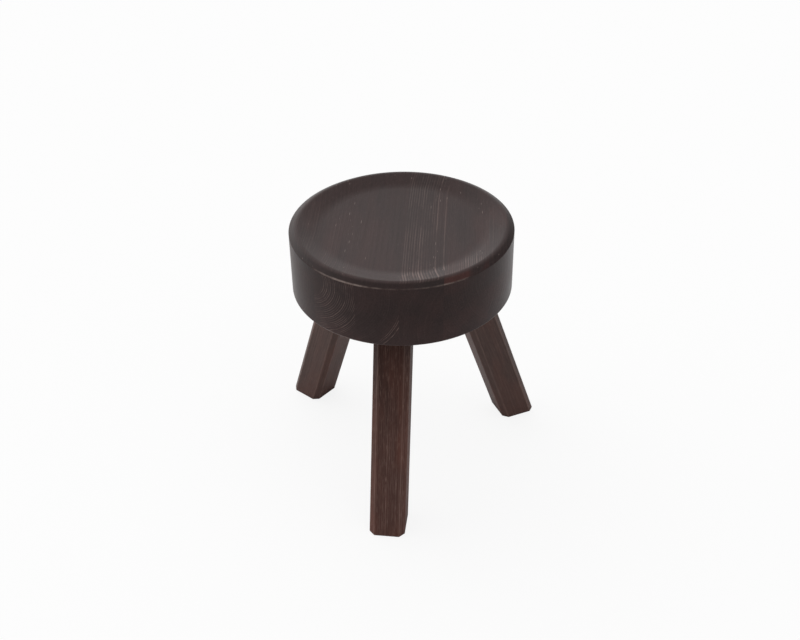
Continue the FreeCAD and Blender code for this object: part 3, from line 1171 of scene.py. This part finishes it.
@dataclass
class Seat:
    """The round seat: boards glued edge to edge, turned, dished on top and drilled for the legs."""

    finishes: dict[str, PineFinish]
    height: float = SEAT_HEIGHT
    radius: float = SEAT_RADIUS
    thickness: float = SEAT_THICKNESS
    crest_inset: float = 0.011
    crest_rounding: float = 0.010
    rim_drop: float = 0.005
    rim_edge_radius: float = 0.0012
    underside_edge_radius: float = 0.002
    dish_slope: float = math.radians(15.5)
    cove_radius: float = 0.060
    dish_depth: float = 0.0092
    dish_floor_radius: float = 3.0
    board_width: float = 0.0557
    middle_joint: float = 0.0051
    joints_left: int = 2
    joints_right: int = 2
    slice_angle: float = math.radians(0.6)
    floor_steps: int = 30
    cove_steps: int = 12
    slope_steps: int = 5
    crest_steps: int = 14
    bevel_steps: int = 6
    edge_steps: int = 6
    side_steps: int = 13
    corner_steps: int = 5
    under_steps: int = 23
    edge_reach: float = 0.0015
    rub_spread: float = 0.0035
    corner_mark: float = 0.8
    # Edge lightening by heading, in degrees from the front: real wear, and a painted highlight along the
    # rim's edge.
    rubbed: tuple[Pair, ...] = (
        (-180, 0.3), (-90, 0.1), (-50, 0.0), (-35, 0.65), (-24, 0.8), (-14, 0.8), (-5, 0.55),
        (6, 0.42), (18, 0.55), (30, 0.6), (38, 0.5), (47, 0.2), (60, 0.0), (120, 0.2), (180, 0.3),
    )

    def dish_half(self) -> tuple[np.ndarray, np.ndarray]:
        """The top from the side in to the axis: rim edge, bevel, crest, slope, cove and floor.

        The bevel runs from the rim tangent to the crest's arc, and the rim's edge is a small arc tangent to
        the side and to the bevel. The straight slope runs tangent to the crest and to the cove, and the cove
        runs tangent into the floor, a very flat arc centred on the axis.

        Returns:
            Radius and height of each point, and its edge mark.
        """
        rim = np.array([self.radius, self.height - self.rim_drop])
        crest_centre = np.array([self.radius - self.crest_inset, self.height - self.crest_rounding])
        away = rim - crest_centre
        bevel_normal = math.atan2(away[1], away[0]) + math.acos(self.crest_rounding / np.hypot(*away))
        edge_centre = rim - self.rim_edge_radius * np.array([1, math.tan(bevel_normal / 2)])
        outward = np.array([math.cos(self.dish_slope), math.sin(self.dish_slope)])
        upward = np.array([-outward[1], outward[0]])
        floor_centre = np.array([0, self.height - self.dish_depth + self.dish_floor_radius])
        slope_top = crest_centre + upward * self.crest_rounding
        reach = slope_top + upward * self.cove_radius - floor_centre
        between = self.dish_floor_radius - self.cove_radius
        along = reach @ outward
        run = along + math.sqrt(along**2 - reach @ reach + between**2)
        slope_foot = slope_top - outward * run
        cove_centre = slope_foot + upward * self.cove_radius
        toward = cove_centre - floor_centre
        cove_foot = math.atan2(toward[1], toward[0])
        level = math.pi / 2
        edge = arc(edge_centre, self.rim_edge_radius, 0, bevel_normal, self.edge_steps)
        crest_end = level + self.dish_slope
        crest = arc(crest_centre, self.crest_rounding, bevel_normal, crest_end, self.crest_steps)
        parts = [
            edge,
            np.linspace(edge[-1], crest[0], self.bevel_steps + 1)[1:],
            crest[1:],
            np.linspace(slope_top, slope_foot, self.slope_steps + 1)[1:-1],
            arc(cove_centre, self.cove_radius, self.dish_slope - level, cove_foot, self.cove_steps),
            arc(floor_centre, self.dish_floor_radius, cove_foot, -level, self.floor_steps)[1:],
        ]
        points = np.concatenate(parts)
        points[-1, 0] = 0
        inwards = np.cumsum(np.hypot(*np.diff(points, axis=0, prepend=points[:1]).T)) - self.rim_edge_radius
        marks = np.clip(1 - inwards / self.rub_spread, 0, 1) ** 2
        return points, marks

    def profile(self) -> tuple[np.ndarray, np.ndarray, int, int]:
        """Half the seat's section, from the underside's middle out, up the side and in to the dish's middle.

        Returns:
            Radius and height of each point, its edge mark, how many points the underside has, and where the
            top starts.
        """
        top, top_marks = self.dish_half()
        bottom = self.height - self.thickness
        rounding = self.underside_edge_radius
        under = np.linspace([0, bottom], [self.radius - rounding, bottom], self.under_steps + 1)
        corner_centre = (self.radius - rounding, bottom + rounding)
        corner = arc(corner_centre, rounding, -math.pi / 2, 0, self.corner_steps)[1:]
        low, high = corner[-1, 1], top[0, 1]
        heights = np.linspace(low, high, self.side_steps + 1)[1:-1]
        heights = np.concatenate([[low + self.edge_reach], heights, [high - self.edge_reach]])
        side = np.stack([np.full(len(heights), self.radius), np.sort(heights)], axis=1)
        points = np.concatenate([under, corner, side, top])
        marks = np.concatenate([np.zeros(len(points) - len(top)), top_marks])
        marks[len(under) : len(under) + len(corner)] = self.corner_mark
        return points, marks, len(under) + len(corner), len(points) - len(top)

    def board(self, left: float, right: float) -> Skin:
        """One board: the turned form between two upright planes across its grain.

        The place across is the seat's radius times the sine of an evenly stepped angle. At each place stands
        the slice of the turned form: every point of the profile sits where its circle cuts the slice, at plus
        or minus the root of the circle's radius squared less the place squared. A circle too small to reach
        the slice gives the slice's middle point, at the height that the profile has there.

        Args:
            left: where the board starts, across the grain.
            right: where it ends.

        Returns:
            The skin, turned to the grain's own direction.
        """
        points, marks, under, top = self.profile()
        radii, heights = points.T
        angles = np.arcsin(np.clip(np.array([left, right]) / self.radius, -1, 1))
        steps = max(2, math.ceil((angles[1] - angles[0]) / self.slice_angle))
        across = self.radius * np.sin(np.linspace(*angles, steps + 1))
        across[[0, -1]] = left, right
        offset = np.abs(across)[:, None]
        short = radii[None, :] < offset
        is_under = np.arange(len(radii)) < under

        def at_middle(values: np.ndarray) -> np.ndarray:
            """What the profile has straight below or above the middle of each slice.

            Args:
                values: what each point of the profile has.

            Returns:
                The values by slice and point.
            """
            below = np.interp(offset, radii[:under], values[:under])
            above = np.interp(offset, radii[top:][::-1], values[top:][::-1])
            return np.where(is_under, below, above)

        height = np.where(short, at_middle(heights), heights)
        mark = np.where(short, at_middle(marks), marks)
        depth = np.sqrt(np.maximum(radii**2 - offset**2, 0))
        spread = np.broadcast_to(across[:, None], depth.shape)
        front = np.stack([spread, -depth, height], axis=-1)
        back = np.stack([spread, depth, height], axis=-1)[:, ::-1]
        loops = np.concatenate([front, back], axis=1)
        skin = loops_skin(loops, np.concatenate([mark, mark[:, ::-1]], axis=1))
        skin.points = turned(skin.points, Matrix.Rotation(GRAIN_TURN, 3, "Z"))
        # The rim's edge lightening, real wear and painted highlight, changes round the seat by heading.
        heading = np.degrees(np.arctan2(skin.points[:, 0], -skin.points[:, 1]))
        skin.edge = skin.edge * np.interp(heading, *np.array(self.rubbed).T)
        return skin

    def spans(self) -> dict[str, Pair]:
        """Shares the seat's width out to the boards, from joint to joint.

        Returns:
            Where each board starts and ends across the grain, by its name, from left to right.
        """
        joints = self.middle_joint + self.board_width * np.arange(-self.joints_left, self.joints_right + 1)
        edges = [-self.radius, *joints.tolist(), self.radius]
        return dict(zip(self.finishes, zip(edges, edges[1:])))

    def build(self, legs: list[Leg]) -> None:
        """Builds, drills and dresses the boards.

        Args:
            legs: the legs, whose tenons need bores.
        """
        turn = Euler((0, 0, GRAIN_TURN))
        across = turn.to_matrix() @ Vector((1, 0, 0))
        for name, (left, right) in self.spans().items():
            node = f"seat_board_{name}"
            mesh = self.board(left, right).mesh(f"{node}_stained")
            drills = []
            for leg in legs:
                bore = leg.bore()
                places = bore.points @ np.array(across)
                if places.min() < right and places.max() > left:
                    drills.append(bore.mesh("bore"))
            mesh = cut_away(mesh, drills)
            home = across * ((left + right) / 2) + Vector((0, 0, self.height))
            add_piece(mesh, node, self.finishes[name].material(home, turn))


# The studio


@dataclass(frozen=True)
class SkyPatch:
    """A soft bright patch of the surround, which lights the stool like a large lamp with no edge."""

    name: str
    heading: float
    elevation: float
    brightness: float

    @property
    def direction(self) -> Vector:
        """Where the patch is seen from the stool. The heading counts from the front, by way of the right.

        Returns:
            The way there, one long.
        """
        heading, rise = math.radians(self.heading), math.radians(self.elevation)
        level = math.cos(rise)
        return Vector((math.sin(heading) * level, -math.cos(heading) * level, math.sin(rise)))


@dataclass
class Studio:
    """A plain pale floor and a white surround with soft bright patches, strongest low down at the left."""

    floor_reach: float = 8.0
    floor_corners: int = 96
    floor_colour: Colour = stained(240, 240, 240)
    floor_white: float = 0.86
    patch_sharpness: float = 6.0
    patches: tuple[SkyPatch, ...] = (
        SkyPatch("overhead", heading=0, elevation=90, brightness=0.603),
        SkyPatch("high_right", heading=60, elevation=50, brightness=0.874),
        SkyPatch("high_back_right", heading=120, elevation=50, brightness=0.322),
        SkyPatch("high_back", heading=180, elevation=50, brightness=0.248),
        SkyPatch("high_back_left", heading=240, elevation=50, brightness=0.884),
        SkyPatch("low_back", heading=180, elevation=15, brightness=0.781),
        SkyPatch("low_back_left", heading=225, elevation=15, brightness=1.242),
        SkyPatch("low_left", heading=270, elevation=15, brightness=1.451),
    )

    def lay_floor(self) -> None:
        """Lays the floor: a disc, mostly white to the camera and grey to the light, so it keeps a shadow."""
        rim = at_height(circle(self.floor_reach, self.floor_corners), 0.0)
        mesh = bpy.data.meshes.new("studio_floor")
        mesh.from_pydata(rim, [], [list(range(len(rim)))])
        material, wiring = new_material("studio_floor")
        seen = wiring.node("LightPath").outputs["Is Camera Ray"]
        plain = wiring.node("BsdfDiffuse", self.floor_colour)
        white = wiring.node("Emission", (1, 1, 1, 1), 1.0)
        share = wiring.maths("MULTIPLY", seen, self.floor_white)
        shader = wiring.node("MixShader", share, plain.outputs[0], white.outputs[0])
        wiring.node("OutputMaterial", shader.outputs[0])
        dress(mesh, material)
        floor = add_item("studio_floor", mesh)

    def light_surround(self) -> None:
        """Makes the world white to the camera and a set of soft bright patches to everything else.

        A patch glows with its brightness times e to the power of its sharpness times the cosine, less one, of
        the angle from its middle.
        """
        world = bpy.data.worlds.new("studio")
        bpy.context.scene.world = world
        world.use_nodes = True
        world.node_tree.nodes.clear()
        wiring = Wiring(world.node_tree)
        direction = wiring.node("TexCoord").outputs["Generated"]
        glow = 0.0
        for patch in self.patches:
            cosine = wiring.vector("DOT_PRODUCT", direction, patch.direction)
            power = wiring.maths("MULTIPLY_ADD", cosine, self.patch_sharpness, -self.patch_sharpness)
            glow = wiring.maths("MULTIPLY_ADD", wiring.maths("EXPONENT", power), patch.brightness, glow)
            LOG.info("bright patch %s", patch.name)
        seen = wiring.node("LightPath").outputs["Is Camera Ray"]
        soft = wiring.node("Background", (1, 1, 1, 1), glow)
        white = wiring.node("Background", (1, 1, 1, 1), 1.0)
        shader = wiring.node("MixShader", seen, soft.outputs[0], white.outputs[0])
        wiring.node("OutputWorld", shader.outputs[0])

    def build(self) -> None:
        """Lays the floor and lights the surround."""
        self.lay_floor()
        self.light_surround()


@dataclass
class PhotoCamera:
    """The camera at the photograph's own place, looking down at the stool."""

    place: Triple = (0.1752, -1.3298, 1.1823)
    look_down: float = 35.73
    heading: float = 7.68
    tilt: float = -1.0
    focal_length: float = 52.88
    sensor_width: float = 36.0

    def set_up(self) -> None:
        """Adds the camera and makes it the scene's own."""
        data = bpy.data.cameras.new("photo_camera")
        data.lens = self.focal_length
        data.sensor_width = self.sensor_width
        camera = add_item("photo_camera", data)
        aim = Euler((math.radians(90 - self.look_down), 0, math.radians(self.heading))).to_matrix()
        aim = aim @ Matrix.Rotation(math.radians(self.tilt), 3, "Z")
        camera.matrix_world = Matrix.Translation(self.place) @ aim.to_4x4()
        bpy.context.scene.camera = camera


def seat_finishes() -> dict[str, PineFinish]:
    """Dresses the seat's six boards.

    Returns:
        The finish of each board, by the board's name.
    """
    return {
        "left_3": PineFinish("pine_left_3", pith=(-0.10, -0.03), slip=0.3, spacing=0.0031, fleck_row=0.006),
        "left_2": PineFinish(
            "pine_left_2", pith=(-0.0465, -0.018), slip=0.9, spacing=0.00245, late_share=0.24,
            bold_from=0.035, bold_to=0.085, contrast=0.04, end_contrast=0.65, flecks=0.14,
            fleck_row=0.0095,
        ),
        "left_1": PineFinish(
            "pine_left_1", pith=(-0.0613, -0.019), slip=1.7, spacing=0.0030, late_share=0.24,
            bold_from=0.094, bold_to=0.099, contrast=0.04, slope_contrast=0.1, end_contrast=0.65,
            flecks=0.03,
        ),
        "right_1": PineFinish(
            "pine_right_1", pith=(0.110, -0.070), slip=2.3, spacing=0.0030, bold_from=0.114,
            bold_to=0.149, bright_ring=0.105, late_share=0.38, contrast=0.3, slope_contrast=1.0,
            flecks=0.2, fleck_row=0.012, bevel_warmth=0.1,
        ),
        # Its rim's bevel has a lighter painted shade than the others, and is redder.
        "right_2": PineFinish(
            "pine_right_2", pith=(0.10, -0.012), slip=3.07, spacing=0.0027, contrast=0.03,
            slope_contrast=0.6, warmth=0.08, bevel_tone=0.8, bevel_warmth=0.5, flecks=0.1,
            fleck_row=0.016,
        ),
        "right_3": PineFinish(
            "pine_right_3", pith=(-0.12, -0.03), slip=4.2, spacing=0.0034, warmth=0.12,
            fleck_row=-0.006,
        ),
    }


def stool_legs() -> list[Leg]:
    """Gives each of the three legs its place and its own piece of wood.

    Returns:
        The legs: front, right and left.
    """
    pine = PineFinish(
        "pine_leg", earlywood=stained(79, 62, 58), latewood=stained(150, 124, 115),
        warm=stained(98, 60, 50), bare=stained(178, 150, 138), warmth=0.22, wear=0.12, roughness=0.5,
        back_tone=1.0, bevel_tone=1.0, low=0.0, high=0.28,
    )
    # Painted light and shade along the legs: the front leg darker under the seat as a painted shadow, the
    # right and left legs lighter towards the seat.
    front = replace(
        pine, name="pine_front", pith=(0.10, 0.03), slip=0.4, spacing=0.0027, contrast=0.45,
        slope_contrast=0.45, flecks=0.12, speckles=0.12, earlywood=stained(83, 57, 51), warmth=0.5,
        low=0.08, low_tone=0.97, high_tone=0.47,
    )
    right = replace(
        pine, name="pine_right", pith=(0.09, 0.09), slip=1.2, spacing=0.0031, contrast=0.05,
        speckles=0.04, low_tone=1.02, high_tone=1.15,
    )
    left = replace(
        pine, name="pine_left", pith=(-0.08, 0.12), slip=2.6, spacing=0.0029, contrast=0.05,
        speckles=0.04, low_tone=1.05, high_tone=1.45,
    )
    return [
        Leg("front", 0.0, front),
        Leg("right", math.radians(120), right),
        Leg("left", math.radians(237), left, home_radius=0.0906),
    ]


def main() -> None:
    """Builds the stool round its frame, in order: seat, legs, wedges, studio, camera."""
    logging.basicConfig(level=logging.INFO, format="%(name)s %(message)s")
    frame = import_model()
    legs = stool_legs()
    Seat(seat_finishes()).build(legs)
    for leg in legs:
        leg.build()
        leg.dress_wedge(frame["nodes"])
    Studio().build()
    PhotoCamera().set_up()
    bpy.context.scene.view_settings.view_transform = "Standard"


if __name__ == "__main__":
    main()
